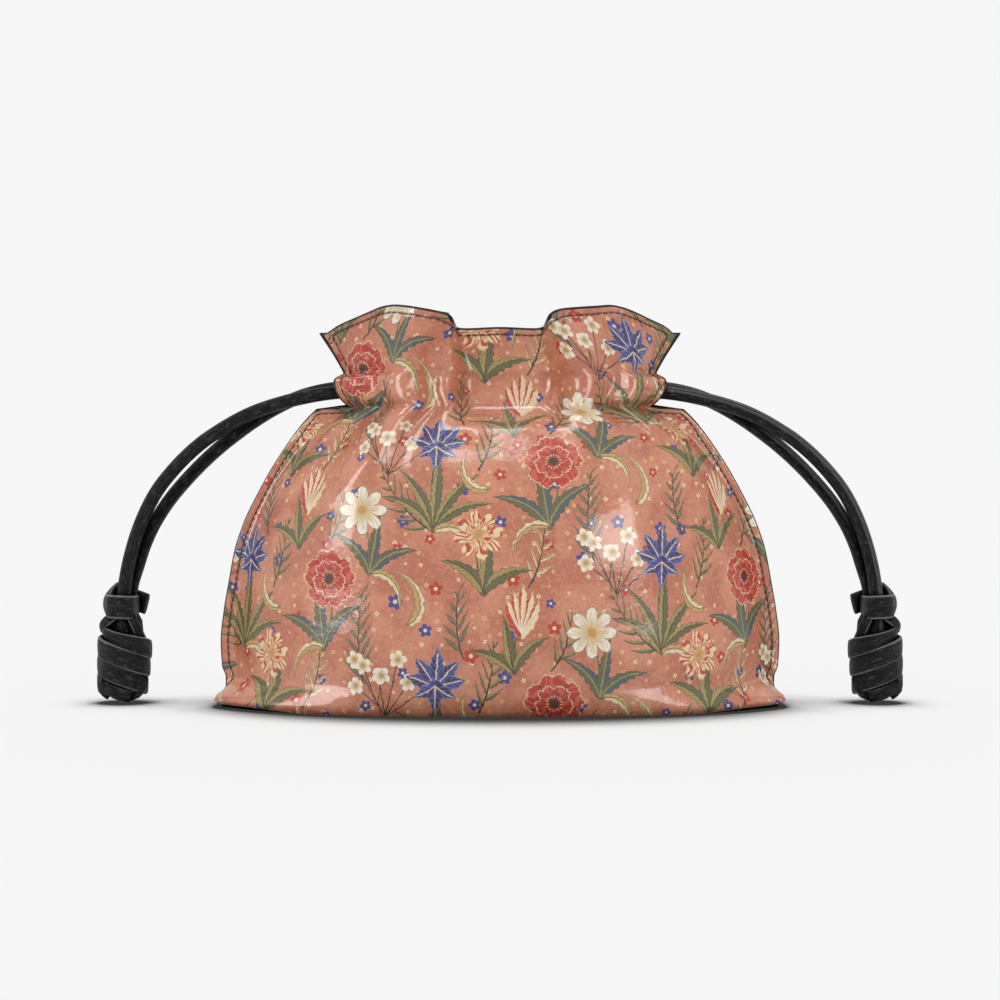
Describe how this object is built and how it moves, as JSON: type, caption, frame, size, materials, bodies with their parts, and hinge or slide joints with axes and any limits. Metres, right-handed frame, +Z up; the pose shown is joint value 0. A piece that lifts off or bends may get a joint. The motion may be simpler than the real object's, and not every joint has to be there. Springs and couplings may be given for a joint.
{
  "type": "drawstring pouch handbag (reticule)",
  "caption": "Small drawstring pouch of printed leather with a gathered neck, ruffled rim, side tabs and knotted leather cords.",
  "frame": {"origin": "middle of the flat bottom, on the surface that the pouch stands on", "axes": "+X to the pouch's left-to-right width as seen from the front, the front faces -Y, +Z up"},
  "size_m": [0.3436, 0.102, 0.166],
  "materials": {
    "printed_leather": "glossy coated leather with an all-over floral print",
    "black_lining": "smooth matt black lining leather",
    "black_cord": "grained black leather, semi-matt",
    "thread": "dark brown waxed thread"
  },
  "bodies": {
    "root": {"front_panel": "printed_leather", "back_panel": "printed_leather", "base_panel": "printed_leather", "lining": "black_lining", "left_loop": "black_cord", "right_loop": "black_cord", "left_front_strand": "black_cord", "left_back_strand": "black_cord", "right_front_strand": "black_cord", "right_back_strand": "black_cord", "left_knot_band": "black_cord", "right_knot_band": "black_cord", "left_knot_coil": "black_cord", "right_knot_coil": "black_cord"}
  },
  "joints": []
}
